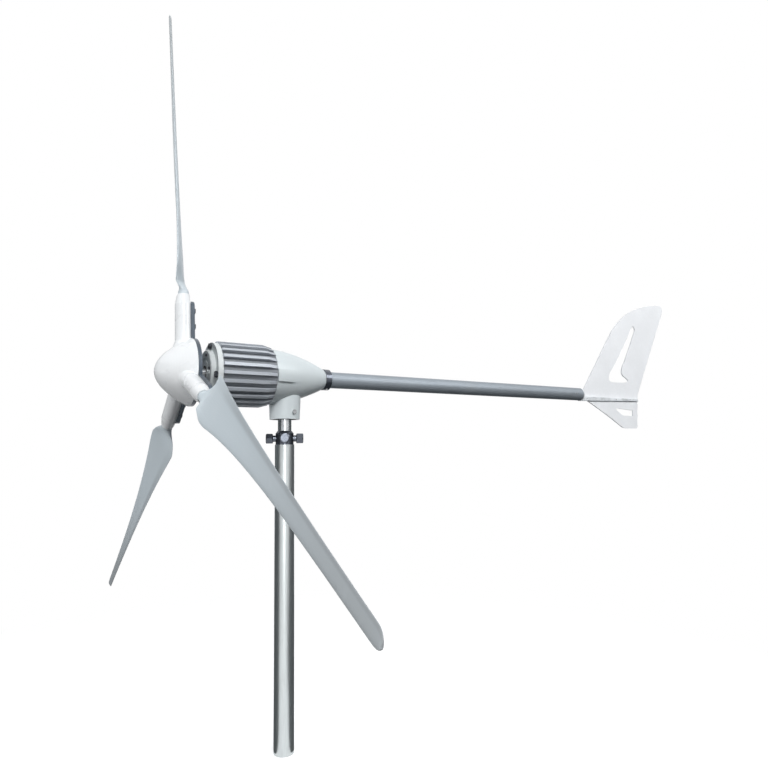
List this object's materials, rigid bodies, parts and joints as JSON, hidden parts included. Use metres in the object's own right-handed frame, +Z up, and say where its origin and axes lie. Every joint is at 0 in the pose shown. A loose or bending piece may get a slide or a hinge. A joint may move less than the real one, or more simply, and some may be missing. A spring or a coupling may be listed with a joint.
{
  "type": "small wind turbine",
  "caption": "Small horizontal-axis wind turbine on a mast stub: bladed rotor with a white nose, finned generator, white tail cone, yaw head and a tail boom with a cut-out vane.",
  "frame": {"origin": "middle of the mast tube's bottom end", "axes": "+Z up along the mast, -X towards the nose, +X towards the tail"},
  "size_m": [1.914, 1.7016, 1.8665],
  "materials": {
    "white_shell": "smooth glossy white",
    "fin_metal": "cast, bare",
    "dark_metal": "dark satin paint",
    "steel": "machined",
    "bright_steel": "ground and polished",
    "blade_plastic": "moulded grey, satin",
    "black_bolt": "black oxide",
    "rubber": "plain",
    "copper": "copper",
    "magnet": "nickel plated",
    "lamination": "laminated sheet",
    "tail_sheet": "pale sheet",
    "mast_steel": "polished tube",
    "boom_steel": "satin tube",
    "cover_paint": "pale paint",
    "cage_brass": "pressed",
    "insulator": "moulded",
    "carbon": "pressed carbon"
  },
  "bodies": {
    "mast": {"mast_tube": "mast_steel", "mast_adapter": "dark_metal", "clamp_bolts": "black_bolt", "yaw_shaft": "bright_steel", "yaw_lower_inner_ring": "steel", "yaw_upper_inner_ring": "steel", "yaw_inner_spacer": "steel", "yaw_nut": "steel", "slip_ring_sleeve": "insulator", "slip_rings": "copper"},
    "yaw_ball_set": {"yaw_balls": "bright_steel", "yaw_lower_cage": "cage_brass", "yaw_upper_cage": "cage_brass"},
    "nacelle": {"rear_housing": "white_shell", "finned_housing": "fin_metal", "front_cover": "cover_paint", "bearing_cap": "cover_paint", "bearing_cap_screws": "steel", "tie_bolts": "black_bolt", "shaft_seal": "rubber", "front_outer_ring": "steel", "rear_outer_ring": "steel", "stator_core": "lamination", "stator_windings": "copper", "phase_leads": "insulator", "brush_holder": "insulator", "brushes": "carbon", "yaw_lower_outer_ring": "steel", "yaw_upper_outer_ring": "steel", "yaw_outer_spacer": "steel", "neck_circlip": "steel", "neck_seal": "rubber", "neck_screw": "steel", "tail_boom": "boom_steel", "boom_clamp": "dark_metal", "boom_clamp_screw": "black_bolt", "tail_spine": "boom_steel", "tail_vane": "tail_sheet", "vane_rivets": "fin_metal", "spine_screws": "steel"},
    "rotor_ball_set": {"rotor_balls": "bright_steel", "front_cage": "cage_brass", "rear_cage": "cage_brass"},
    "rotor": {"rotor_shaft": "steel", "front_inner_ring": "steel", "rear_inner_ring": "steel", "rotor_core": "lamination", "rotor_magnets": "magnet", "hub_plate": "dark_metal", "hub_key": "steel", "hub_washer": "steel", "hub_nut": "steel", "hub_shell": "white_shell", "shell_screws": "black_bolt", "blade_bolts": "black_bolt", "blade_1": "blade_plastic", "blade_2": "blade_plastic", "blade_3": "blade_plastic"}
  },
  "joints": [
    {"name": "yaw", "type": "hinge", "parent": "mast", "child": "nacelle", "pos_m": [0, 0, 0.8], "axis": [0, 0, 1], "continuous": true},
    {"name": "yaw_ball_roll", "type": "hinge", "parent": "mast", "child": "yaw_ball_set", "pos_m": [0, 0, 0.8], "axis": [0, 0, 1], "continuous": true},
    {"name": "rotor_spin", "type": "hinge", "parent": "nacelle", "child": "rotor", "pos_m": [-0.2, 0, 0.885], "axis": [1, 0, 0], "continuous": true},
    {"name": "rotor_ball_roll", "type": "hinge", "parent": "nacelle", "child": "rotor_ball_set", "pos_m": [-0.2, 0, 0.885], "axis": [1, 0, 0], "continuous": true}
  ],
  "couplings": [
    {"joint": "yaw_ball_roll", "follows": "yaw", "ratio": 0.5857},
    {"joint": "rotor_ball_roll", "follows": "rotor_spin", "ratio": 0.3987}
  ]
}
